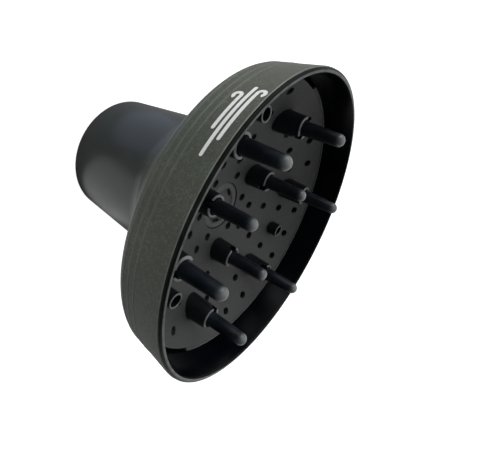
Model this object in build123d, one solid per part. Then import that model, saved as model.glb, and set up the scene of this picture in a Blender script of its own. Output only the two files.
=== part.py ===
from build123d import *
from math import asin, cos, degrees, radians, sin, sqrt, tan
import os

# Push-on dryer diffuser, millimetres, +Z out of the bowl's mouth.
# The origin is the centre of the neck's end ring, which the part stands on.
# Angles are measured about +Z from +X, and +X passes through one screw tube.

# Bowl and neck
RIM_R = 70.0              # outer radius at the mouth
OVERALL = 100.7           # neck end to rim
BAND_DEPTH = 21.4         # height of the outer band
BAND_REAR_R = 66.7        # band radius at its rear edge
NECK_END_R = 30.0         # outer radius of the neck's end
NECK_SLOPE = 0.095        # how much the neck's radius grows per mm of height
BACK_ANGLE = 43.0         # slope of the bowl's back cone, degrees
BAND_WALL = 1.4           # shell wall behind the liner
SHELL_WALL = 1.8          # shell wall elsewhere
BAND_RIDGES = (13.7, 16.8, 19.8)   # low ridges, distance below the rim
RIDGE_R = 0.7             # radius of a ridge's rounded section
RIDGE_RISE = 0.14         # how far a ridge stands out
SHELL_STEP = 0.6          # how far the shell's step reaches in past the liner's wall
NECK_END_ROUND = 1.2
FLARE_ROUND = 12.0        # between the neck and the bowl's back
BAND_REAR_ROUND = 3.5
EDGE_ROUND = 0.4          # small moulded edges

# Liner with its lip over the shell's edge
LIP_DEPTH = 1.1
LINER_WALL = 0.8
LIP_SETBACK = 0.35        # the lip's side, in from the band's surface
LIP_ROUND = 0.5
LIP_INNER_ROUND = 0.35
LEDGE_INNER_R = 62.4
LEDGE_Z = 80.6            # underside of the liner's ledge

# Dished plate
DISH_CENTRE_Z = 67.3      # front of the plate on the axis
DISH_R = 121.7            # radius of the plate's front sphere
PLATE_THICK = 2.0
PLATE_EDGE_R = 65.0       # about where the dish meets the liner
PLATE_GAP = 0.5           # open gap round the plate's edge
BEAD_R = 0.4              # bead along the front of the plate's edge
NOTCH_DEPTH = 1.3         # two shallow notches in the plate's edge
NOTCH_ANGLES = (93, 110)  # a notch's two ends, mirrored about the XZ plane
HOLE_R = 1.95
DRILL_LENGTH = 9.0        # long enough to cross the plate anywhere

# Prongs: a sleeve through the plate, with a finger inside it
OUTER_PRONG_R = 47.45
INNER_PRONG_R = 23.7
PRONG_START = {"outer": 30.0, "inner": 60.0}
OUTER_TIP_Z = 107.9
INNER_TIP_Z = 99.2
OUTER_RISE = 11.7         # an outer sleeve's end above the plate, on its axis
INNER_RISE = 9.8
SLEEVE_BASE_R = 5.8
SLEEVE_END_R = 5.2
SLEEVE_BORE_R = 3.85
SLEEVE_FLANGE_R = 6.4
SLEEVE_STRAIGHT = 1.5     # the straight part ends this far behind the plate's front
SLEEVE_END_ROUND = 0.6
SLEEVE_BORE_ROUND = 0.2
FLANGE_THICK = 1.1
FINGER_ROOT = 2.5         # length of the finger's root that fills the sleeve's bore
FINGER_NECK_R = 3.4       # finger's radius at the sleeve's end
FINGER_TIP_R = 2.85
FINGER_FLANGE_R = 4.9
FINGER_BORE_R = 1.8
FINGER_TIP_SOLID = 2.0    # solid length behind the tip's ball
VENT_WIDTH = 3.4          # two U-shaped vents in a sleeve's end
VENT_DEPTH = 3.8
GROOVE_DEPTH = 1.0        # air groove along each side of the finger's root
GROOVE_WIDTH = 2.4

# Screw tubes through the plate, posts and screws
TUBE_RING_R = 47.6
TUBE_END_Z = 81.8
TUBE_R = 3.65
TUBE_BORE_R = 2.75
TUBE_FLANGE_R = 5.0
TUBE_ROUND = 0.3
SEAT_THICK = 2.0
POST_R = 3.4
POST_ROOT = 4.0           # how far a post starts below the bowl's back, before it is trimmed
POST_SINK = 1.0           # how deep a post and its web sit in the shell's wall
WEB_SIZE = (6.0, 1.6, 9.0)
WEB_OUT = 2.0             # web's middle beyond the post's side
WEB_UP = 3.5              # web's middle above the bowl's back
PILOT_R = 1.25
PILOT_DEPTH = 6.5
SCREW_HEAD_R = 2.55
SCREW_HEAD_H = 1.9
SCREW_SHORT = 1.0         # how far a screw ends above the bottom of its pilot hole
SCREW_ROUND = 0.6
CROSS_SIZE = (3.0, 0.6, 2.2)   # one slot of the cross recess
CROSS_TURN = 15.0

# Pads on the back of the plate
PAD_R = 6.8
PAD_DROP = 0.4            # how far a pad stands below the plate's lowest point in it

# Centre cap
CAP_HOLE_R = 11.9
CAP_R = 11.65
CAP_BRIM_Z = 67.5         # top of the cap's brim
CAP_TOP_Z = 70.3
CAP_DOME_R = 15.2
CAP_FOOT_R = 2.0          # rounding between the dome and the brim
CAP_FLANGE_R = 14.2
CAP_LAND_Z = 65.3         # flat land on the back of the plate
CAP_HOLE_RING_R = 7.6
CAP_HOLE_R_FRONT = 1.75
CAP_WALL = 1.4
CAP_LAND_MARGIN = 0.4     # flat land round the cap's flange
CAP_DRILL = 6.0

# Soft grip collar in the neck
SOCKET_R = 25.0           # the bore that goes over the dryer's barrel
SOCKET_LENGTH = 24.0
COLLAR_WALL = 1.6
COLLAR_START_Z = 1.4
COLLAR_FLANGE = 2.0
FIN_COUNT = 18
FIN_THICK = 1.4
FIN_REACH = 7.0           # a fin before it is trimmed to the neck
FIN_SHORT = 1.5           # fins end this far below the collar's top
NECK_LIP_R = 27.4

# Working allowances
CUT_OVER = 1.0            # how far a cutter runs past the face it opens
WELD = 0.4                # overlap of two pieces that are joined into one solid

DISH_CENTRE = DISH_CENTRE_Z + DISH_R
BACK_SPHERE_R = DISH_R + PLATE_THICK
BAND_SLOPE = (RIM_R - BAND_REAR_R) / BAND_DEPTH

# Rings of air holes: radius, and the angles of its holes
OUTER_RING = (57.7, [a for a in range(0, 360, 15) if a % 60 != 30])
SECOND_RING = (46.5, [15 + 30 * k for k in range(12)] + [60, 180, 300])
THIRD_RING = (34.8, [15 + 30 * k for k in range(12)])
FOURTH_RING = (23.4, [120 * k + side for k in range(3) for side in (-15, 15)])
FIFTH_RING = (16.1, [30 + 60 * k for k in range(6)])
HOLE_RINGS = (OUTER_RING, SECOND_RING, THIRD_RING, FOURTH_RING, FIFTH_RING)


def polar(radius, angle, z=0.0):
    """A point at a radius and an angle in degrees."""
    return Vector(radius * cos(radians(angle)), radius * sin(radians(angle)), z)


def front_z(radius):
    """Height of the plate's front at a radius."""
    return DISH_CENTRE - sqrt(DISH_R**2 - radius**2)


def back_z(radius):
    """Height of the plate's back at a radius."""
    return DISH_CENTRE - sqrt(BACK_SPHERE_R**2 - radius**2)


def band_r(z):
    """Outer radius of the bowl's band at a height."""
    return RIM_R - BAND_SLOPE * (OVERALL - z)


def neck_r(z):
    """Outer radius of the neck at a height."""
    return NECK_END_R + NECK_SLOPE * z


def pad_z(ring_r):
    """Height of the flat underside of a pad."""
    return back_z(ring_r - PAD_R) - PAD_DROP


def post_z():
    """Height of the screw posts' tops, under the tubes' flanges."""
    return pad_z(TUBE_RING_R) - FLANGE_THICK


def seat_z():
    """Height of the seat of a screw's head in its tube."""
    return post_z() + SEAT_THICK


def turned(points):
    """A solid of revolution about Z from (radius, height) points."""
    outline = make_face(Polyline(*points, close=True))
    return revolve(Plane.XZ * outline, Axis.Z)


def turned_face(face):
    """A solid of revolution about Z from a face drawn in radius and height."""
    return revolve(Plane.XZ * face, Axis.Z)


def tube(outer_r, inner_r, low, high):
    """A round tube on the Z axis between two heights."""
    return turned([(inner_r, low), (outer_r, low), (outer_r, high), (inner_r, high)])


def rod(radius, low, high):
    """A round rod on the Z axis between two heights."""
    return Pos(0, 0, (low + high) / 2) * Cylinder(radius, high - low)


def back_cone_z(radius, wall=0.0):
    """Height of the bowl's back cone at a radius, or of its face inside a wall."""
    lean = radians(BACK_ANGLE)
    return OVERALL - BAND_DEPTH + wall / cos(lean) - (BAND_REAR_R - radius) * tan(lean)


def back_corner(wall=0.0):
    """Where the back cone meets the neck's cone, on the outside or inside a wall."""
    slope = tan(radians(BACK_ANGLE))
    z = back_cone_z(NECK_END_R - wall, wall) / (1 - slope * NECK_SLOPE)
    return neck_r(z) - wall, z


def rounded(points, radii):
    """A closed outline with a rounding radius at each point, 0 for a sharp one."""
    face = make_face(Polyline(*points, close=True))
    for (x, y), radius in zip(points, radii):
        if radius > 0:
            corner = face.vertices().sort_by_distance((x, y, 0))[0]
            face = fillet(corner, radius)
    return face


def outer_shell():
    """Bowl and neck in one moulding, with three posts for the plate's screws."""
    shell_top = OVERALL - LIP_DEPTH
    step_r = band_r(LEDGE_Z) - BAND_WALL
    inner_r = step_r - LINER_WALL - SHELL_STEP
    outline = [
        (NECK_LIP_R, 0),
        (NECK_END_R, 0),
        back_corner(),
        (BAND_REAR_R, OVERALL - BAND_DEPTH),
        (band_r(shell_top), shell_top),
        (band_r(shell_top) - BAND_WALL, shell_top),
        (step_r, LEDGE_Z),
        (inner_r, LEDGE_Z),
        (inner_r, back_cone_z(inner_r, SHELL_WALL)),
        back_corner(SHELL_WALL),
        (neck_r(COLLAR_START_Z) - SHELL_WALL, COLLAR_START_Z),
        (NECK_LIP_R, COLLAR_START_Z),
    ]
    outside = [EDGE_ROUND, NECK_END_ROUND, FLARE_ROUND, BAND_REAR_ROUND, EDGE_ROUND]
    inside = [0, 0, 0, 0, FLARE_ROUND, 0, 0]
    shell = turned_face(rounded(outline, outside + inside))
    for drop in BAND_RIDGES:
        z = OVERALL - drop
        shell += turned_face(Pos(band_r(z) + RIDGE_RISE - RIDGE_R, z) * Circle(RIDGE_R))
    for _, angle in tube_seats():
        shell += screw_post(angle)
    for ring_r, angle in tube_seats():
        pilot = rod(PILOT_R, post_z() - PILOT_DEPTH, OVERALL)
        shell -= Location(polar(ring_r, angle)) * pilot
    return shell


def screw_post(angle):
    """A post from the bowl's back to the plate, with a web out to the wall."""
    floor = back_cone_z(TUBE_RING_R)
    post = Location(polar(TUBE_RING_R, angle)) * rod(POST_R, floor - POST_ROOT, post_z())
    web_mid = TUBE_RING_R + POST_R + WEB_OUT
    web = Rot(0, 0, angle) * Pos(web_mid, 0, floor + WEB_UP) * Box(*WEB_SIZE)
    corner_r, corner_z = back_corner(POST_SINK)
    inside_shell = turned([
        (corner_r, corner_z),
        (BAND_REAR_R, back_cone_z(BAND_REAR_R, POST_SINK)),
        (BAND_REAR_R, OVERALL),
        (corner_r, OVERALL),
    ])
    return (post + web) & inside_shell


def bowl_liner():
    """Gloss inner ring: a lip over the shell's edge, a wall, and a ledge for the plate."""
    shell_top = OVERALL - LIP_DEPTH
    outer_top = band_r(shell_top) - BAND_WALL
    outer_low = band_r(LEDGE_Z) - BAND_WALL
    inner_top = band_r(OVERALL) - BAND_WALL - LINER_WALL
    inner_low = outer_low - LINER_WALL
    outline = [
        (inner_low, LEDGE_Z),
        (outer_low, LEDGE_Z),
        (outer_top, shell_top),
        (band_r(shell_top) - LIP_SETBACK, shell_top),
        (band_r(OVERALL) - LIP_SETBACK, OVERALL),
        (inner_top, OVERALL),
    ]
    wall = turned_face(rounded(outline, [0, 0, 0, 0, LIP_ROUND, LIP_INNER_ROUND]))
    ledge = tube(inner_low + WELD / 2, LEDGE_INNER_R, LEDGE_Z, front_z(PLATE_EDGE_R))
    ledge -= Pos(0, 0, DISH_CENTRE) * Sphere(BACK_SPHERE_R)
    return wall + ledge


def dished_disc(edge_r):
    """The plain dished disc, before its holes."""
    ball = Sphere(BACK_SPHERE_R) - Sphere(DISH_R)
    return (Pos(0, 0, DISH_CENTRE) * ball) & rod(edge_r, 0, OVERALL)


def air_hole(radius, angle):
    """A drill square to the dish at a radius and an angle."""
    tilt = degrees(asin(radius / DISH_R))
    drill = Pos(0, 0, -DISH_R) * Cylinder(HOLE_R, DRILL_LENGTH)
    return Pos(0, 0, DISH_CENTRE) * Rot(0, 0, angle) * Rot(0, -tilt, 0) * drill


def prong_seats():
    """The ring radius and angle of every prong, outer ones first."""
    outer = [(OUTER_PRONG_R, PRONG_START["outer"] + 60 * k) for k in range(6)]
    inner = [(INNER_PRONG_R, PRONG_START["inner"] + 120 * k) for k in range(3)]
    return outer + inner


def tube_seats():
    """The ring radius and angle of every screw tube."""
    return [(TUBE_RING_R, 120 * k) for k in range(3)]


def edge_notch(edge_r, start, end):
    """A cutter for a shallow notch in the plate's edge between two angles."""
    ring = tube(edge_r + CUT_OVER, edge_r - NOTCH_DEPTH, DISH_CENTRE_Z, OVERALL)
    far = 2 * edge_r
    wedge = make_face(Polyline((0, 0), polar(far, start), polar(far, end), close=True))
    return ring & extrude(wedge, OVERALL)


def face_plate():
    """Dished plate with its air holes and the seats of the prongs, tubes and cap."""
    edge_z = front_z(PLATE_EDGE_R)
    edge_r = band_r(edge_z) - BAND_WALL - LINER_WALL - PLATE_GAP
    bead_mid = edge_r - BEAD_R
    plate = dished_disc(edge_r) + turned_face(Pos(bead_mid, front_z(bead_mid)) * Circle(BEAD_R))
    in_front = Pos(0, 0, DISH_CENTRE) * Sphere(DISH_R)
    for ring_r, angle in prong_seats() + tube_seats():
        pad = rod(PAD_R, pad_z(ring_r), front_z(ring_r + PAD_R))
        pad -= in_front.moved(Location(-polar(ring_r, angle)))
        plate += Location(polar(ring_r, angle)) * pad
    for ring_r, angle in prong_seats():
        plate -= Location(polar(ring_r, angle)) * rod(SLEEVE_BASE_R, 0, OVERALL)
    for ring_r, angle in tube_seats():
        plate -= Location(polar(ring_r, angle)) * rod(TUBE_R, 0, OVERALL)
    land_r = CAP_FLANGE_R + CAP_LAND_MARGIN
    plate += rod(land_r, CAP_LAND_Z, front_z(land_r)) - in_front
    plate -= rod(CAP_HOLE_R, 0, OVERALL)
    drills = [air_hole(radius, angle) for radius, angles in HOLE_RINGS for angle in angles]
    start, end = NOTCH_ANGLES
    notches = [edge_notch(edge_r, start, end), edge_notch(edge_r, -end, -start)]
    return plate - drills - notches


def centre_cap():
    """Domed cap with a brim, held from behind in the plate's centre, with four vents."""
    dome_centre = CAP_TOP_Z - CAP_DOME_R
    half = Pos(CAP_R / 2, 0) * Rectangle(CAP_R, 2 * OVERALL)
    brim_height = CAP_BRIM_Z - CAP_LAND_Z
    brim = Pos(CAP_R / 2, CAP_BRIM_Z - brim_height / 2) * Rectangle(CAP_R, brim_height)
    above_land = Pos(0, CAP_LAND_Z + OVERALL / 2) * Rectangle(2 * CAP_R, OVERALL)
    section = (Pos(0, dome_centre) * Circle(CAP_DOME_R)) & half & above_land
    section += brim
    foot_r = sqrt(CAP_DOME_R**2 - (CAP_BRIM_Z - dome_centre)**2)
    foot = section.vertices().sort_by_distance((foot_r, CAP_BRIM_Z, 0))[0]
    section = fillet(foot, CAP_FOOT_R)
    edge = section.vertices().sort_by_distance((CAP_R, CAP_BRIM_Z, 0))[0]
    section = fillet(edge, EDGE_ROUND)
    cap = turned_face(section)
    cap += rod(CAP_FLANGE_R, CAP_LAND_Z - FLANGE_THICK, CAP_LAND_Z)
    cap -= Pos(0, 0, dome_centre) * Sphere(CAP_DOME_R - CAP_WALL)
    tilt = degrees(asin(CAP_HOLE_RING_R / CAP_DOME_R))
    for angle in (0, 90, 180, 270):
        drill = Pos(0, 0, CAP_DOME_R) * Cylinder(CAP_HOLE_R_FRONT, CAP_DRILL)
        cap -= Pos(0, 0, dome_centre) * Rot(0, 0, angle) * Rot(0, tilt, 0) * drill
    return cap


def sleeve_end(ring_r, rise):
    """Height of a sleeve's open end."""
    return front_z(ring_r) + rise


def prong_sleeve(ring_r, angle, rise):
    """A tapered sleeve with a flange behind the plate and two vents in its end."""
    seat = pad_z(ring_r)
    end = sleeve_end(ring_r, rise)
    low = seat - FLANGE_THICK
    outline = [
        (SLEEVE_BORE_R, seat),
        (FINGER_FLANGE_R, seat),
        (FINGER_FLANGE_R, low),
        (SLEEVE_FLANGE_R, low),
        (SLEEVE_FLANGE_R, seat),
        (SLEEVE_BASE_R, seat),
        (SLEEVE_BASE_R, front_z(ring_r) - SLEEVE_STRAIGHT),
        (SLEEVE_END_R, end),
        (SLEEVE_BORE_R, end),
    ]
    body = turned_face(rounded(outline, [0] * 7 + [SLEEVE_END_ROUND, SLEEVE_BORE_ROUND]))
    round_z = end - VENT_DEPTH + VENT_WIDTH / 2
    open_z = end + CUT_OVER
    across = 2 * (SLEEVE_BASE_R + CUT_OVER)
    slot = Pos(0, 0, (round_z + open_z) / 2) * Box(across, VENT_WIDTH, open_z - round_z)
    slot += Pos(0, 0, round_z) * Rot(0, 90, 0) * Cylinder(VENT_WIDTH / 2, across)
    return Location(polar(ring_r, angle)) * Rot(0, 0, angle) * (body - slot)


def prong_finger(ring_r, angle, rise, tip_z):
    """A hollow tapered finger, held by its flange in the sleeve, with two air grooves."""
    seat = pad_z(ring_r)
    low = seat - FLANGE_THICK
    tip_centre = tip_z - FINGER_TIP_R
    outline = make_face(
        Polyline(
            (0, low), (FINGER_FLANGE_R, low), (FINGER_FLANGE_R, seat), (SLEEVE_BORE_R, seat),
            (SLEEVE_BORE_R, seat + FINGER_ROOT), (FINGER_NECK_R, sleeve_end(ring_r, rise)),
            (FINGER_TIP_R, tip_centre))
        + CenterArc((0, tip_centre), FINGER_TIP_R, 0, 90)
        + Line((0, tip_z), (0, low)))
    finger = turned_face(outline)
    finger -= rod(FINGER_BORE_R, low, tip_centre - FINGER_TIP_SOLID)
    groove_low = low - CUT_OVER
    groove_high = seat + FINGER_ROOT + CUT_OVER
    groove = Box(FINGER_FLANGE_R, GROOVE_WIDTH, groove_high - groove_low)
    groove_mid = SLEEVE_BORE_R - GROOVE_DEPTH + FINGER_FLANGE_R / 2
    for side in (-1, 1):
        finger -= Pos(side * groove_mid, 0, (groove_low + groove_high) / 2) * groove
    return Location(polar(ring_r, angle)) * Rot(0, 0, angle) * finger


def screw_tube(angle):
    """A short tube through the plate, with a flange behind it and a seat for the screw."""
    outline = [
        (PILOT_R, post_z()),
        (TUBE_FLANGE_R, post_z()),
        (TUBE_FLANGE_R, pad_z(TUBE_RING_R)),
        (TUBE_R, pad_z(TUBE_RING_R)),
        (TUBE_R, TUBE_END_Z),
        (TUBE_BORE_R, TUBE_END_Z),
        (TUBE_BORE_R, seat_z()),
        (PILOT_R, seat_z()),
    ]
    body = turned_face(rounded(outline, [0, 0, 0, 0, TUBE_ROUND, TUBE_ROUND, 0, 0]))
    return Location(polar(TUBE_RING_R, angle)) * body


def plate_screw(angle):
    """A cross-head screw in a tube, down into the shell's post."""
    seat = seat_z()
    top = seat + SCREW_HEAD_H
    tip = post_z() - PILOT_DEPTH + SCREW_SHORT
    head = fillet(rod(SCREW_HEAD_R, seat, top).edges().sort_by(Axis.Z)[-1], SCREW_ROUND)
    shank = chamfer(rod(PILOT_R, tip, seat).edges().sort_by(Axis.Z)[0], SCREW_ROUND)
    cross = Box(*CROSS_SIZE) + Rot(0, 0, 90) * Box(*CROSS_SIZE)
    screw = head + shank - Pos(0, 0, top) * cross
    return Location(polar(TUBE_RING_R, angle)) * Rot(0, 0, 2 * angle + CROSS_TURN) * screw


def grip_collar():
    """Soft collar in the neck: a bore for the dryer's barrel, an end flange and fins."""
    top = COLLAR_START_Z + SOCKET_LENGTH
    outer_r = SOCKET_R + COLLAR_WALL
    flange_top = COLLAR_START_Z + COLLAR_FLANGE
    fin_top = top - FIN_SHORT
    weld_r = outer_r - WELD
    weld_z = flange_top - WELD
    sleeve = turned([
        (SOCKET_R, COLLAR_START_Z),
        (neck_r(COLLAR_START_Z) - SHELL_WALL, COLLAR_START_Z),
        (neck_r(flange_top) - SHELL_WALL, flange_top),
        (outer_r, flange_top),
        (outer_r, top),
        (SOCKET_R, top),
    ])
    inside_neck = turned([
        (weld_r, weld_z),
        (neck_r(weld_z) - SHELL_WALL, weld_z),
        (neck_r(fin_top) - SHELL_WALL, fin_top),
        (weld_r, fin_top),
    ])
    fin = Pos(weld_r + FIN_REACH / 2, 0, top / 2) * Box(FIN_REACH, FIN_THICK, top)
    for k in range(FIN_COUNT):
        sleeve += (Rot(0, 0, 360 * k / FIN_COUNT) * fin) & inside_neck
    return sleeve


def build_nodes():
    """Every node of the part, by name."""
    nodes = {
        "outer_shell": outer_shell(),
        "bowl_liner": bowl_liner(),
        "face_plate": face_plate(),
        "centre_cap": centre_cap(),
        "grip_collar": grip_collar(),
    }
    for k in range(3):
        nodes[f"screw_tube_{k + 1}"] = screw_tube(120 * k)
        nodes[f"plate_screw_{k + 1}"] = plate_screw(120 * k)
    for k in range(6):
        place = (OUTER_PRONG_R, PRONG_START["outer"] + 60 * k, OUTER_RISE)
        nodes[f"outer_sleeve_{k + 1}"] = prong_sleeve(*place)
        nodes[f"outer_finger_{k + 1}"] = prong_finger(*place, OUTER_TIP_Z)
    for k in range(3):
        place = (INNER_PRONG_R, PRONG_START["inner"] + 120 * k, INNER_RISE)
        nodes[f"inner_sleeve_{k + 1}"] = prong_sleeve(*place)
        nodes[f"inner_finger_{k + 1}"] = prong_finger(*place, INNER_TIP_Z)
    return nodes


os.makedirs("parts", exist_ok=True)
for name, shape in build_nodes().items():
    export_step(shape, f"parts/{name}.step")
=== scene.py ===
import logging
import math
from collections.abc import Iterable
from dataclasses import dataclass, field, replace
from enum import Enum

import bmesh
import bpy
from mathutils import Matrix, Vector


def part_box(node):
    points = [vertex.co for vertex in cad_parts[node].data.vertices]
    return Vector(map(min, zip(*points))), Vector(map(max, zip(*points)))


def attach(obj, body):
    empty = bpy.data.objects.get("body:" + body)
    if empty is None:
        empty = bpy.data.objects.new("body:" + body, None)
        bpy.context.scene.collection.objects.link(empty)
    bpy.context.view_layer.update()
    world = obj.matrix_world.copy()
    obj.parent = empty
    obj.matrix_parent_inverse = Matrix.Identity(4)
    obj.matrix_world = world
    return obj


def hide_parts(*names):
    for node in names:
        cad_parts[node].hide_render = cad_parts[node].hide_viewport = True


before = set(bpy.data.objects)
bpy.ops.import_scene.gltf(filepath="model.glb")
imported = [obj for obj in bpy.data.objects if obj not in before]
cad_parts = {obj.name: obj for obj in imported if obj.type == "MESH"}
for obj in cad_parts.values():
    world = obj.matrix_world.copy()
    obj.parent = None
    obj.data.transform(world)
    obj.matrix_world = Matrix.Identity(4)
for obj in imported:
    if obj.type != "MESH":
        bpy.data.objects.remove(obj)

# Push-on dryer diffuser. The frame's origin is the centre of the neck's end ring and +Z points out of
# the bowl's mouth. Sizes in the classes are millimetres where nothing else is said, and Blender's
# meshes are metres.

log = logging.getLogger("diffuser")
MM = 0.001
FULL_TURN = 2 * math.pi
MERGE_REACH = 1e-6
SHARP_ANGLE = math.radians(38)
NOISE_MIDDLE = (0.35, 0.65)
FINE_DETAIL = 3.0
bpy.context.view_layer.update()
RIDGES_Z = (87.1, 84.0, 81.0)
WHITE = (1.0, 1.0, 1.0)
Colour = tuple[float, float, float]
Range = tuple[float, float]
Socket = bpy.types.NodeSocket


class Slot(Enum):
    """The record's material slots that new pieces take their finish from."""

    SHELL = "shell_satin"
    LINER = "liner_gloss"
    PRONG = "prong_satin"


class Along(Enum):
    """What a fade along a piece follows."""

    HEIGHT = "height"
    TIP = "tip"


class Nodes:
    """A material's node tree, with short calls for the nodes that the finishes share."""

    def __init__(self, name: str) -> None:
        """Starts a material.

        Args:
            name: the material's name.
        """
        self.material = bpy.data.materials.new(name)
        self.material.use_nodes = True
        self.tree = self.material.node_tree
        self.shader = self.tree.nodes["Principled BSDF"]
        self.place = self.tree.nodes.new("ShaderNodeTexCoord").outputs["Object"]

    def link(self, source: Socket, target: Socket) -> None:
        """Joins an output to an input."""
        self.tree.links.new(source, target)

    def noise(self, size: float, detail: float = 2.0) -> Socket:
        """A soft noise.

        Args:
            size: its feature size in millimetres.
            detail: its octaves.

        Returns:
            The noise, near 0.5 on average.
        """
        node = self.tree.nodes.new("ShaderNodeTexNoise")
        node.inputs["Scale"].default_value = 1.0 / (size * MM)
        node.inputs["Detail"].default_value = detail
        self.link(self.place, node.inputs["Vector"])
        return node.outputs["Fac"]

    def flakes(self, size: float) -> Socket:
        """Small cells, each with its own random value.

        Args:
            size: a cell's size in millimetres.

        Returns:
            The cell's value, from 0 to 1.
        """
        node = self.tree.nodes.new("ShaderNodeTexVoronoi")
        node.inputs["Scale"].default_value = 1.0 / (size * MM)
        self.link(self.place, node.inputs["Vector"])
        apart = self.tree.nodes.new("ShaderNodeSeparateColor")
        self.link(node.outputs["Color"], apart.inputs[0])
        return apart.outputs[0]

    def spread(self, value: Socket, source: Range, target: Range) -> Socket:
        """Maps one range to another with a smooth step.

        Args:
            value: what is mapped.
            source: the range that it is read over.
            target: the range that it becomes.

        Returns:
            The mapped value.
        """
        node = self.tree.nodes.new("ShaderNodeMapRange")
        node.interpolation_type = "SMOOTHSTEP"
        node.inputs["From Min"].default_value, node.inputs["From Max"].default_value = source
        node.inputs["To Min"].default_value, node.inputs["To Max"].default_value = target
        self.link(value, node.inputs["Value"])
        return node.outputs["Result"]

    def height(self) -> Socket:
        """The height above the neck's end.

        Returns:
            The height in metres.
        """
        apart = self.tree.nodes.new("ShaderNodeSeparateXYZ")
        self.link(self.place, apart.inputs[0])
        return apart.outputs["Z"]

    def attribute(self, name: str) -> Socket:
        """A value stored on the mesh's vertices.

        Args:
            name: the attribute's name.

        Returns:
            The value.
        """
        node = self.tree.nodes.new("ShaderNodeAttribute")
        node.attribute_name = name
        return node.outputs["Fac"]

    def arithmetic(self, operation: str, *values: Socket | float) -> Socket:
        """The result of one step of arithmetic.

        Args:
            operation: the step's name in a Math node.
            values: what it works on, in order, each a socket or a number.

        Returns:
            The result.
        """
        node = self.tree.nodes.new("ShaderNodeMath")
        node.operation = operation
        for socket, value in zip(node.inputs, values):
            if isinstance(value, float):
                socket.default_value = value
            else:
                self.link(value, socket)
        return node.outputs[0]

    def distance(self, value: Socket, centre: float) -> Socket:
        """How far a value is from a centre."""
        return self.arithmetic("ABSOLUTE", self.arithmetic("SUBTRACT", value, centre))

    def product(self, first: Socket, second: Socket) -> Socket:
        """One value times another."""
        return self.arithmetic("MULTIPLY", first, second)

    def total(self, first: Socket, second: Socket) -> Socket:
        """One value plus another."""
        return self.arithmetic("ADD", first, second)

    def mix(self, factor: Socket, first: Socket | Colour, second: Socket | Colour) -> Socket:
        """A mix of two colours.

        Args:
            factor: how much of the second there is.
            first: a colour or a socket that gives one.
            second: the same.

        Returns:
            The mixed colour.
        """
        node = self.tree.nodes.new("ShaderNodeMix")
        node.data_type = "RGBA"
        for name, value in (("A", first), ("B", second)):
            socket = next(s for s in node.inputs if s.name == name and s.type == "RGBA")
            if isinstance(value, tuple):
                socket.default_value = (*value, 1.0)
            else:
                self.link(value, socket)
        self.link(factor, node.inputs["Factor"])
        return next(s for s in node.outputs if s.type == "RGBA")

    def scaled(self, colour: Socket, gain: Socket) -> Socket:
        """A colour made lighter or darker.

        Args:
            colour: the colour.
            gain: what it is multiplied by.

        Returns:
            The new colour.
        """
        node = self.tree.nodes.new("ShaderNodeVectorMath")
        node.operation = "SCALE"
        self.link(colour, node.inputs[0])
        self.link(gain, node.inputs["Scale"])
        return node.outputs[0]

    def bump(self, height: Socket, depth: float, below: Socket | None = None) -> Socket:
        """Relief from a height.

        Args:
            height: the height, from 0 to 1.
            depth: its depth in millimetres.
            below: another relief that this one adds to.

        Returns:
            The shading normal.
        """
        node = self.tree.nodes.new("ShaderNodeBump")
        node.inputs["Distance"].default_value = depth * MM
        self.link(height, node.inputs["Height"])
        if below is not None:
            self.link(below, node.inputs["Normal"])
        return node.outputs["Normal"]


@dataclass(frozen=True)
class Fade:
    """A second tone that comes in along a piece.

    start and end are heights in millimetres, or shares of the way to a tip.
    """

    tone: Colour
    start: float
    end: float
    along: Along = Along.HEIGHT
    strength: float = 1.0
    rough: float = 0.0

    def mask(self, nodes: Nodes) -> Socket:
        """Where the tone is.

        Args:
            nodes: the material that it is for.

        Returns:
            The tone's share, from 0 to its strength.
        """
        if self.along is Along.HEIGHT:
            way, ends = nodes.height(), (self.start * MM, self.end * MM)
        else:
            way, ends = nodes.attribute(self.along.value), (self.start, self.end)
        return nodes.spread(way, ends, (0.0, self.strength))


@dataclass(frozen=True)
class HighlightAndToneRing:
    """A ring of lighter tone at one height, patchy and soft at its edges. Most uses are painted highlights
    along an edge, ridge or rim; one is the liner lip's olive tone.

    Its height, its reach each way and its patches' size are millimetres.
    """

    tone: Colour
    height: float
    reach: float
    strength: float = 0.8
    rough: float = 0.0
    full_share: float = 0.5
    patch_size: float = 4.0
    patch_range: Range = (0.3, 0.6)
    patch_least: float = 0.55

    def mask(self, nodes: Nodes) -> Socket:
        """Where the tone is.

        Args:
            nodes: the material that it is for.

        Returns:
            The tone's share, from 0 to its strength.
        """
        off = nodes.distance(nodes.height(), self.height * MM)
        edge = (self.reach * self.full_share * MM, self.reach * MM)
        ring = nodes.spread(off, edge, (self.strength, 0.0))
        patches = nodes.noise(self.patch_size, FINE_DETAIL)
        return nodes.product(ring, nodes.spread(patches, self.patch_range, (self.patch_least, 1.0)))


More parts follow.
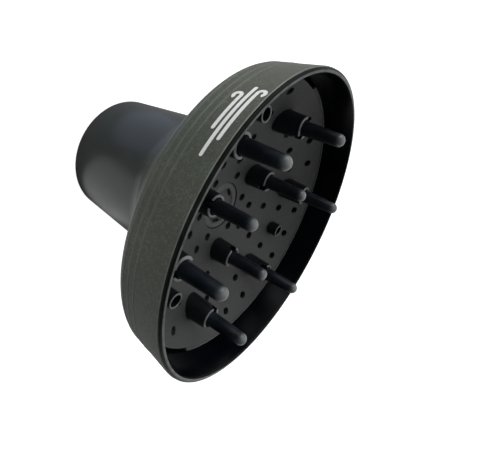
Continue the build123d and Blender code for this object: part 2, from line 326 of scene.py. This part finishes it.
@dataclass(frozen=True)
class Finish:
    """A moulded, coated or plated surface.

    It has a base tone with small flakes in it, wide soft clouds, a fine grain and a slow ripple.
    Sizes are millimetres and colours are linear.
    """

    name: str
    base: Colour
    flake: Colour
    flake_size: float
    rough: float
    grain_size: float
    grain_depth: float
    flake_share: float = 0.35
    flake_least: float = 0.5
    flakes_across_patch: float = 4.0
    rough_spread: float = 0.05
    ripple_size: float = 6.0
    ripple_depth: float = 0.01
    cloud_size: float = 28.0
    cloud_gain: float = 0.12
    specular: float = 0.5
    metallic: float = 0.0
    fades: tuple[Fade | HighlightAndToneRing, ...] = ()

    def build(self) -> bpy.types.Material:
        """Makes the material.

        Returns:
            The node-based material.
        """
        nodes = Nodes(self.name)
        inputs = nodes.shader.inputs
        inputs["Metallic"].default_value = self.metallic
        inputs["Specular IOR Level"].default_value = self.specular

        flakes = nodes.spread(nodes.flakes(self.flake_size), (1 - self.flake_share, 1.0), (0.0, 1.0))
        patches = nodes.noise(self.flake_size * self.flakes_across_patch)
        softened = nodes.product(flakes, nodes.spread(patches, NOISE_MIDDLE, (self.flake_least, 1.0)))
        clouds = nodes.noise(self.cloud_size, FINE_DETAIL)
        tone = nodes.mix(softened, self.base, self.flake)
        rough_range = (self.rough - self.rough_spread, self.rough + self.rough_spread)
        rough = nodes.spread(clouds, NOISE_MIDDLE, rough_range)
        for fade in self.fades:
            mask = fade.mask(nodes)
            tone = nodes.mix(mask, tone, fade.tone)
            if fade.rough:
                rough = nodes.total(rough, nodes.spread(mask, (0.0, 1.0), (0.0, fade.rough)))
        gain = nodes.spread(clouds, NOISE_MIDDLE, (1 - self.cloud_gain, 1 + self.cloud_gain))
        nodes.link(nodes.scaled(tone, gain), inputs["Base Color"])
        nodes.link(rough, inputs["Roughness"])
        ripple = nodes.bump(nodes.noise(self.ripple_size, 1.0), self.ripple_depth)
        nodes.link(nodes.bump(nodes.noise(self.grain_size), self.grain_depth, ripple), inputs["Normal"])
        return nodes.material


# Lighter lines on the band's three ridges: painted highlight along their crests.
RIDGE_PAINTED_HIGHLIGHT = (0.105, 0.115, 0.099)
SATIN_COAT = Finish(
    "satin_coat", base=(0.059, 0.068, 0.054), flake=(0.098, 0.112, 0.090), flake_size=0.5, rough=0.42,
    grain_size=0.4, grain_depth=0.03, flake_share=0.6, ripple_size=9.0, ripple_depth=0.02, specular=0.4,
    fades=(
        # Darker towards the neck, below 66 mm: painted shade.
        Fade((0.020, 0.0235, 0.0225), start=66.0, end=40.0, rough=-0.07),
        # Painted highlight along each ridge's crest.
        *(HighlightAndToneRing(RIDGE_PAINTED_HIGHLIGHT, height=ridge_z, reach=0.5) for ridge_z in RIDGES_Z),
        # Lighter line at the shell's top edge, by the lip: painted highlight, partly a rubbed edge.
        HighlightAndToneRing((0.18, 0.195, 0.175), height=99.6, reach=0.42, strength=0.9),
    ),
)
GLOSS_BLACK = Finish(
    "gloss_black", base=(0.0008, 0.0013, 0.0026), flake=(0.0016, 0.002, 0.0034), flake_size=1.5, rough=0.22,
    grain_size=1.0, grain_depth=0.003, specular=0.05,
    fades=(
        HighlightAndToneRing((0.009, 0.010, 0.009), height=100.0, reach=0.6, strength=1.0),
        # Bright thin line round the lip's top: painted highlight.
        HighlightAndToneRing((0.12, 0.13, 0.125), height=100.7, reach=0.12, strength=0.9),
    ),
)
MATTE_GREY = Finish(
    "matte_grey", base=(0.034, 0.036, 0.035), flake=(0.05, 0.053, 0.051), flake_size=0.4, rough=0.6,
    grain_size=0.3, grain_depth=0.02, specular=0.4,
    # Lighter ring at the plate's outer edge: painted highlight.
    fades=(HighlightAndToneRing((0.085, 0.09, 0.086), height=86.0, reach=0.45),),
)
CAP_GREY = Finish(
    "cap_grey", base=(0.032, 0.034, 0.033), flake=(0.05, 0.053, 0.051), flake_size=0.4, rough=0.55,
    grain_size=0.3, grain_depth=0.02, specular=0.4,
    # Lighter ring round the cap's edge: painted highlight.
    fades=(HighlightAndToneRing((0.075, 0.08, 0.078), height=67.5, reach=0.35),),
)
# Lighter ring at the sleeves' and tubes' open ends: painted highlight on their rounded rims.
SLEEVE_END_HIGHLIGHT = (0.15, 0.16, 0.162)
SATIN_BLACK = Finish(
    "satin_black", base=(0.0030, 0.0050, 0.0080), flake=(0.007, 0.011, 0.015), flake_size=0.7, rough=0.38,
    grain_size=0.5, grain_depth=0.008, ripple_size=3.0, ripple_depth=0.03, cloud_gain=0.25,
)
FINGER_BLACK = Finish(
    "finger_black", base=(0.0048, 0.0078, 0.0120), flake=(0.011, 0.015, 0.021), flake_size=0.7, rough=0.34,
    grain_size=0.5, grain_depth=0.008, ripple_size=2.6, ripple_depth=0.04, cloud_size=9.0, cloud_gain=0.35,
    # The fingers turn light grey towards their tips: painted highlight, partly the tips' own lighter grey.
    fades=(Fade((0.145, 0.157, 0.157), start=0.78, end=1.04, along=Along.TIP, rough=0.08),),
)
SOFT_RUBBER = Finish(
    "soft_rubber", base=(0.011, 0.011, 0.0115), flake=(0.02, 0.02, 0.02), flake_size=0.8, rough=0.68,
    grain_size=0.4, grain_depth=0.02, specular=0.35,
)
DARK_ZINC = Finish(
    "dark_zinc", base=(0.22, 0.22, 0.23), flake=(0.32, 0.31, 0.29), flake_size=0.3, rough=0.34,
    grain_size=0.25, grain_depth=0.006, metallic=1.0,
)
WHITE_INK = Finish(
    "white_ink", base=(0.80, 0.81, 0.80), flake=(0.72, 0.73, 0.72), flake_size=0.5, rough=0.5,
    grain_size=0.35, grain_depth=0.01, cloud_gain=0.03,
)


def sleeve_black(name: str, end_z: float) -> bpy.types.Material:
    """The sleeves' black with a painted highlight ring at their open end.

    Args:
        name: the material's name.
        end_z: the open end's height in millimetres.

    Returns:
        The material.
    """
    painted_end_highlight = HighlightAndToneRing(SLEEVE_END_HIGHLIGHT, height=end_z, reach=0.45, strength=0.9)
    return replace(SATIN_BLACK, name=name, fades=(painted_end_highlight,)).build()


def turned(outline: Iterable[tuple[float, float]], steps: int, closed: bool) -> bmesh.types.BMesh:
    """Spins an outline about the Z axis into a closed shape.

    Args:
        outline: points of radius and height in millimetres.
        steps: how many faces go round.
        closed: whether the outline comes back to its first point. If not, both its ends are on the axis.

    Returns:
        The shape, with its doubles merged and its faces pointing outwards.
    """
    bm = bmesh.new()
    points = [bm.verts.new((radius * MM, 0.0, height * MM)) for radius, height in outline]
    pairs = list(zip(points, points[1:]))
    if closed:
        pairs.append((points[-1], points[0]))
    edges = [bm.edges.new(pair) for pair in pairs]
    bmesh.ops.spin(
        bm, geom=points + edges, cent=(0, 0, 0), axis=(0, 0, 1), angle=FULL_TURN, steps=steps,
        use_merge=True,
    )
    bmesh.ops.remove_doubles(bm, verts=bm.verts, dist=MERGE_REACH)
    bmesh.ops.recalc_face_normals(bm, faces=bm.faces)
    return bm


def finished(bm: bmesh.types.BMesh, name: str, finish: bpy.types.Material) -> bpy.types.Object:
    """Turns a bmesh into a dressed piece that rides on the object's only body.

    Args:
        bm: the shape, which is freed.
        name: the piece's name.
        finish: its material.

    Returns:
        The piece.
    """
    mesh = bpy.data.meshes.new(name)
    bm.to_mesh(mesh)
    bm.free()
    mesh.shade_smooth()
    mesh.set_sharp_from_angle(angle=SHARP_ANGLE)
    mesh.materials.append(finish)
    piece = bpy.data.objects.new(name, mesh)
    bpy.context.scene.collection.objects.link(piece)
    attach(piece, "root")
    log.info("%s: %d faces", name, len(mesh.polygons))
    return piece


def dressed(node: str, finish: bpy.types.Material) -> None:
    """Gives a node of the frame its finish.

    Args:
        node: the node's name.
        finish: its material.
    """
    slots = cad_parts[node].data.materials
    slots.clear()
    slots.append(finish)
    log.info("%s: carried over with %s", node, finish.name)


@dataclass
class BreezeMark:
    """Three printed lines of moving air on the band, two of them curled at the end.

    Each line is its start, its offset and its length. Angles are degrees.
    """

    line_width: float = 1.3
    curl_r: float = 1.3
    curl_turn: float = 245.0
    curl_steps: int = 18
    step: float = 0.8
    tip_round: float = 0.585
    ink: float = 0.03
    angle: float = 157.0
    middle_drop: float = 7.4
    lines: tuple[tuple[float, float, float], ...] = (
        (-9.0, 2.2, 20.0),
        (-15.0, 0.0, 29.0),
        (-6.0, -2.2, 14.0),
    )

    def flat_line(self, start: float, offset: float, length: float) -> bmesh.types.BMesh:
        """One line on the flat, as a strip along X.

        Args:
            start: where it starts along the band.
            offset: how far it is from the mark's middle line, and which way it curls.
            length: how long its straight part is.

        Returns:
            The strip.
        """
        bm = bmesh.new()
        half = self.line_width / 2
        ends = [bm.verts.new((start, offset + side * half, 0)) for side in (-1, 1)]
        edge = bm.edges.new(ends)
        for _ in range(round(length / self.step)):
            grown = bmesh.ops.extrude_edge_only(bm, edges=[edge])["geom"]
            ends = [item for item in grown if isinstance(item, bmesh.types.BMVert)]
            edge = bm.edges.get(ends)
            bmesh.ops.translate(bm, verts=ends, vec=(self.step, 0, 0))
        if offset:
            turn = math.copysign(1.0, offset)
            centre = (ends[0].co.x, offset + turn * self.curl_r, 0)
            bmesh.ops.spin(
                bm, geom=[*ends, edge], cent=centre, axis=(0, 0, turn), angle=math.radians(self.curl_turn),
                steps=self.curl_steps,
            )
        bmesh.ops.remove_doubles(bm, verts=bm.verts, dist=MERGE_REACH / MM)
        bmesh.ops.recalc_face_normals(bm, faces=bm.faces)
        tips = [vert for vert in bm.verts if len(vert.link_faces) == 1]
        bmesh.ops.bevel(
            bm, geom=tips, offset=self.tip_round, affect="VERTICES", segments=4, profile=0.5, material=-1,
        )
        return bm

    def wrap(self, bm: bmesh.types.BMesh, shell: "Shell") -> None:
        """Bends a flat line round the band, with its faces pointing outwards.

        Args:
            bm: the flat line.
            shell: the shell that it lies on.
        """
        middle_z = shell.overall - self.middle_drop
        for vert in bm.verts:
            height = middle_z + vert.co.y
            radius = shell.band_radius(height) + self.ink
            turn = math.radians(self.angle) - vert.co.x / radius
            vert.co = Vector((radius * math.cos(turn), radius * math.sin(turn), height)) * MM
        for face in bm.faces:
            face.normal_update()
            if face.normal.dot(Vector((*face.calc_center_median().xy, 0))) < 0:
                face.normal_flip()

    def build(self, shell: "Shell", finish: bpy.types.Material) -> None:
        """Prints the lines on the shell's band.

        Args:
            shell: the shell that they lie on.
            finish: the ink.
        """
        for count, line in enumerate(self.lines, start=1):
            bm = self.flat_line(*line)
            self.wrap(bm, shell)
            bmesh.ops.solidify(bm, geom=bm.faces, thickness=self.ink * MM)
            finished(bm, f"breeze_line_{count}", finish)


@dataclass
class Shell:
    """The bowl and neck in one moulding, with the printed mark on its band."""

    overall: float = 100.7
    rim_r: float = 70.0
    band_slope: float = 0.1542
    mark: BreezeMark = field(default_factory=BreezeMark)

    def band_radius(self, height: float) -> float:
        """The band's outer radius at a height."""
        return self.rim_r - self.band_slope * (self.overall - height)

    def build(self) -> None:
        """Dresses the shell and prints its mark."""
        dressed("outer_shell", SATIN_COAT.build())
        self.mark.build(self, WHITE_INK.build())


@dataclass
class Liner:
    """The gloss inner ring: a lip over the shell's edge, a wall, and a ledge for the plate."""

    ledge_inner_r: float = 62.4
    ledge_low: float = 80.6
    ledge_inner_top: float = 82.2
    ledge_outer_top: float = 83.7
    wall_low_r: float = 64.75
    outer_low_r: float = 65.5
    outer_top_r: float = 68.43
    lip_low: float = 99.6
    lip_r: float = 69.5
    lip_bulge: float = 0.12
    lip_shoulder: float = 100.4
    shoulder_round: float = 0.3
    bead_r: float = 68.35
    lip_top: float = 100.7
    wall_top_r: float = 67.8
    wall_top_round: float = 0.25
    ring_reach: float = 0.02
    steps: int = 240

    def build(self) -> None:
        """Spins the liner, rounds its lip, and stands it in for the plain one."""
        outline = [
            (self.ledge_inner_r, self.ledge_low),
            (self.outer_low_r, self.ledge_low),
            (self.outer_top_r, self.lip_low),
            (self.lip_r, self.lip_low),
            (self.lip_r + self.lip_bulge, self.lip_shoulder),
            (self.bead_r, self.lip_top),
            (self.wall_top_r, self.lip_top),
            (self.wall_low_r, self.ledge_outer_top),
            (self.ledge_inner_r, self.ledge_inner_top),
        ]
        bm = turned(outline, self.steps, closed=True)
        self.round_ring(bm, self.lip_r + self.lip_bulge, self.lip_shoulder, self.shoulder_round)
        self.round_ring(bm, self.wall_top_r, self.lip_top, self.wall_top_round)
        piece = finished(bm, "liner_ring", GLOSS_BLACK.build())
        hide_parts("bowl_liner")

    def round_ring(self, bm: bmesh.types.BMesh, radius: float, height: float, rounding: float) -> None:
        """Rounds one ring of edges.

        Args:
            bm: the liner.
            radius: the ring's radius.
            height: its height.
            rounding: how far the rounding reaches.
        """
        near = self.ring_reach * MM
        on_ring = {
            vert for vert in bm.verts
            if abs(vert.co.xy.length - radius * MM) < near and abs(vert.co.z - height * MM) < near
        }
        ring = [edge for edge in bm.edges if on_ring.issuperset(edge.verts)]
        bmesh.ops.bevel(
            bm, geom=ring, offset=rounding * MM, affect="EDGES", segments=3, profile=0.5, material=-1,
        )


@dataclass
class Plate:
    """The dished plate, its centre cap, and the screws and their tubes."""

    screw_count: int = 3

    def build(self) -> None:
        """Dresses the plate and what is fixed in it."""
        dressed("face_plate", MATTE_GREY.build())
        dressed("centre_cap", CAP_GREY.build())
        tube_black = sleeve_black("tube_black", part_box("screw_tube_1")[1].z / MM)
        zinc = DARK_ZINC.build()
        for count in range(1, self.screw_count + 1):
            dressed(f"screw_tube_{count}", tube_black)
            dressed(f"plate_screw_{count}", zinc)


@dataclass
class ProngRing:
    """One ring of prongs, each a sleeve with a finger in it."""

    name: str
    count: int
    neck_z: float
    flange_r: float = 4.9
    flange_thick: float = 1.1
    bore_r: float = 3.85
    root: float = 2.5
    neck_r: float = 3.4
    tip_r: float = 2.85
    tip_steps: int = 8
    hollow_r: float = 1.8
    hollow_drop: float = 2.0
    seam: float = 0.06
    seam_start: float = 0.1
    seam_least_r: float = 1.9
    seam_reach: float = 1e-4
    steps: int = 48

    def outline(self, low_z: float, high_z: float) -> list[tuple[float, float]]:
        """A finger's outline, from the top of its hollow, round its flange, to its tip.

        Args:
            low_z: the height of the flange's underside.
            high_z: the height of the tip.

        Returns:
            Points of radius and height.
        """
        seat = low_z + self.flange_thick
        tip_centre = high_z - self.tip_r
        hollow_top = tip_centre - self.hollow_drop
        turns = [step * math.pi / 2 / self.tip_steps for step in range(self.tip_steps)]
        return [
            (0, hollow_top),
            (self.hollow_r, hollow_top),
            (self.hollow_r, low_z),
            (self.flange_r, low_z),
            (self.flange_r, seat),
            (self.bore_r, seat),
            (self.bore_r, seat + self.root),
            (self.neck_r, self.neck_z),
            *((self.tip_r * math.cos(turn), tip_centre + self.tip_r * math.sin(turn)) for turn in turns),
            (0, high_z),
        ]

    def raise_seam(self, bm: bmesh.types.BMesh, low_z: float) -> None:
        """Raises a fine mould seam down a finger's two sides.

        Args:
            bm: the finger, upright on the Z axis.
            low_z: the height of the flange's underside.
        """
        start = low_z + self.flange_thick + self.root + self.seam_start
        for side in (-1, 1):
            line = [
                vert for vert in bm.verts
                if vert.co.z > start * MM
                and abs(vert.co.y) < self.seam_reach * MM
                and vert.co.x * side > self.seam_least_r * MM
            ]
            bmesh.ops.translate(bm, verts=line, vec=(side * self.seam * MM, 0, 0))

    def finger(self, node: str, finish: bpy.types.Material) -> None:
        """Spins one finger and puts it in its sleeve.

        Args:
            node: the frame's finger that it stands in for.
            finish: its material.
        """
        low, high = (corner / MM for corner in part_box(node))
        centre = (low + high) / 2
        bm = turned(self.outline(low.z, high.z), self.steps, closed=False)
        self.store_way_to_tip(bm, high.z)
        self.raise_seam(bm, low.z)
        turn = math.atan2(centre.y, centre.x)
        bmesh.ops.rotate(bm, verts=bm.verts, cent=(0, 0, 0), matrix=Matrix.Rotation(turn, 3, "Z"))
        bmesh.ops.translate(bm, verts=bm.verts, vec=Vector((centre.x, centre.y, 0)) * MM)
        piece = finished(bm, node.replace("finger", "prong"), finish)
        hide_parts(node)

    def store_way_to_tip(self, bm: bmesh.types.BMesh, tip_z: float) -> None:
        """Stores how far each vertex is along the way from the sleeve's end to the tip.

        Args:
            bm: the finger.
            tip_z: the tip's height in millimetres.
        """
        layer = bm.verts.layers.float.new(Along.TIP.value)
        for vert in bm.verts:
            vert[layer] = max(0.0, (vert.co.z / MM - self.neck_z) / (tip_z - self.neck_z))

    def build(self, finger_finish: bpy.types.Material) -> None:
        """Dresses the sleeves and builds the fingers.

        Args:
            finger_finish: the fingers' material.
        """
        sleeve_finish = sleeve_black(f"{self.name}_sleeve_black", self.neck_z)
        for count in range(1, self.count + 1):
            dressed(f"{self.name}_sleeve_{count}", sleeve_finish)
            self.finger(f"{self.name}_finger_{count}", finger_finish)


@dataclass
class Collar:
    """The soft grip collar in the neck."""

    node: str = "grip_collar"

    def build(self) -> None:
        """Dresses the collar."""
        dressed(self.node, SOFT_RUBBER.build())


def lamp(name: str, kind: str, energy: float, back: Vector) -> bpy.types.Object:
    """Adds a light.

    Args:
        name: its name.
        kind: its type in Blender.
        energy: its strength, or its watts where it is a card.
        back: the direction from what it lights to it.

    Returns:
        The light.
    """
    data = bpy.data.lights.new(name, kind)
    data.energy = energy
    obj = bpy.data.objects.new(name, data)
    obj.rotation_euler = back.to_track_quat("Z", "Y").to_euler()
    bpy.context.scene.collection.objects.link(obj)
    return obj


@dataclass(frozen=True)
class SoftLight:
    """A broad far light: where it comes from, how strong it is, and its width in degrees."""

    name: str
    toward: tuple[float, float, float]
    strength: float
    spread: float

    def build(self) -> None:
        """Adds the light."""
        obj = lamp(self.name, "SUN", self.strength, Vector(self.toward))
        obj.data.angle = math.radians(self.spread)


@dataclass(frozen=True)
class Card:
    """A small glowing card that the camera doesn't see. Places and sizes are millimetres."""

    name: str
    place: tuple[float, float, float]
    aim: tuple[float, float, float]
    size: float
    watts: float
    tint: Colour = WHITE

    def build(self) -> None:
        """Adds the card."""
        obj = lamp(self.name, "AREA", self.watts, Vector(self.place) - Vector(self.aim))
        obj.data.size = self.size * MM
        obj.data.color = self.tint
        obj.location = Vector(self.place) * MM
        obj.visible_camera = False


@dataclass
class Studio:
    """The camera, the floor, the sweep and the lights.

    Places and sizes are metres, apart from the lens's and sensor's, which are millimetres.
    """

    place: Vector = field(default_factory=lambda: Vector((-0.15038, 0.00703, 0.15311)))
    toward: Vector = field(default_factory=lambda: Vector((0.90914, -0.03716, -0.41482)))
    up: Vector = field(default_factory=lambda: Vector((-0.15228, 0.89738, -0.41414)))
    lens: float = 26.94
    sensor: float = 36.0
    nearest: float = 0.005
    shift: tuple[float, float] = (-0.0131, -0.0227)
    floor_size: float = 8.0
    floor_tone: float = 0.45
    floor_rough: float = 0.9
    floor_glow: float = 0.95
    backdrop: float = 1.1
    sweep_bright: float = 1.0
    sweep_dim: float = 0.12
    sweep_range: Range = (-0.1, 0.6)
    lights: tuple[SoftLight | Card, ...] = (
        SoftLight("key", toward=(-0.34, 0.93, -0.02), strength=2.9, spread=65),
        SoftLight("front", toward=(0.05, 0.4, 0.9), strength=1.45, spread=80),
        SoftLight("side", toward=(-0.75, 0.35, -0.55), strength=0.55, spread=60),
        Card("low_card", (-35, -39, 25), aim=(-10, -11, 58), size=60, watts=0.0078),
        Card("high_card", (-37, 37, 25), aim=(-10, 10, 58), size=50, watts=0.0032, tint=(0.5, 0.65, 1.0)),
    )

    def camera(self) -> None:
        """Places the camera, rolled so that the mouth looks right and down."""
        data = bpy.data.cameras.new("camera")
        data.lens = self.lens
        data.sensor_width = self.sensor
        data.shift_x, data.shift_y = self.shift
        data.clip_start = self.nearest
        obj = bpy.data.objects.new("camera", data)
        bpy.context.scene.collection.objects.link(obj)
        right = self.toward.cross(self.up).normalized()
        up = right.cross(self.toward).normalized()
        turn = Matrix((right, up, -self.toward.normalized())).transposed().to_4x4()
        obj.matrix_world = Matrix.Translation(self.place) @ turn
        bpy.context.scene.camera = obj

    def floor(self) -> None:
        """Lays the pale floor that the neck stands on, which glows only where the camera sees it."""
        bm = bmesh.new()
        bmesh.ops.create_grid(bm, x_segments=2, y_segments=2, size=self.floor_size)
        mesh = bpy.data.meshes.new("floor")
        bm.to_mesh(mesh)
        bm.free()
        obj = bpy.data.objects.new("floor", mesh)
        bpy.context.scene.collection.objects.link(obj)
        nodes = Nodes("floor_pale")
        inputs = nodes.shader.inputs
        inputs["Base Color"].default_value = (self.floor_tone, self.floor_tone, self.floor_tone, 1)
        inputs["Roughness"].default_value = self.floor_rough
        inputs["Specular IOR Level"].default_value = 0.0
        inputs["Emission Color"].default_value = (*WHITE, 1)
        seen = nodes.tree.nodes.new("ShaderNodeLightPath").outputs["Is Camera Ray"]
        nodes.link(nodes.arithmetic("MULTIPLY", seen, self.floor_glow), inputs["Emission Strength"])
        mesh.materials.append(nodes.material)
        obj.visible_shadow = False

    def world(self) -> None:
        """A white sweep behind the object that falls off towards its front."""
        world = bpy.data.worlds.new("studio")
        world.use_nodes = True
        bpy.context.scene.world = world
        tree = world.node_tree
        sweep = tree.nodes["Background"]
        sweep.inputs["Color"].default_value = (*WHITE, 1)
        direction = tree.nodes.new("ShaderNodeTexCoord").outputs["Generated"]
        along = tree.nodes.new("ShaderNodeVectorMath")
        along.operation = "DOT_PRODUCT"
        along.inputs[1].default_value = self.toward
        tree.links.new(direction, along.inputs[0])
        fall = tree.nodes.new("ShaderNodeMapRange")
        fall.interpolation_type = "SMOOTHSTEP"
        fall.inputs["From Min"].default_value, fall.inputs["From Max"].default_value = self.sweep_range
        fall.inputs["To Min"].default_value = self.sweep_dim
        fall.inputs["To Max"].default_value = self.sweep_bright
        tree.links.new(along.outputs["Value"], fall.inputs["Value"])
        tree.links.new(fall.outputs["Result"], sweep.inputs["Strength"])
        seen = tree.nodes.new("ShaderNodeBackground")
        seen.inputs["Strength"].default_value = self.backdrop
        seen.inputs["Color"].default_value = (*WHITE, 1)
        path = tree.nodes.new("ShaderNodeLightPath")
        mix = tree.nodes.new("ShaderNodeMixShader")
        tree.links.new(path.outputs["Is Camera Ray"], mix.inputs[0])
        tree.links.new(sweep.outputs[0], mix.inputs[1])
        tree.links.new(seen.outputs[0], mix.inputs[2])
        tree.links.new(mix.outputs[0], tree.nodes["World Output"].inputs[0])

    def build(self) -> None:
        """Sets up the whole studio."""
        self.camera()
        self.floor()
        self.world()
        for light in self.lights:
            light.build()
        bpy.context.scene.view_settings.view_transform = "Standard"


def main() -> None:
    """Builds the studio and the diffuser, sub-assembly by sub-assembly."""
    logging.basicConfig(level=logging.INFO)
    Studio().build()
    Shell().build()
    Liner().build()
    Plate().build()
    finger_black = FINGER_BLACK.build()
    ProngRing("outer", count=6, neck_z=88.6).build(finger_black)
    ProngRing("inner", count=3, neck_z=79.4).build(finger_black)
    Collar().build()


if __name__ == "__main__":
    main()
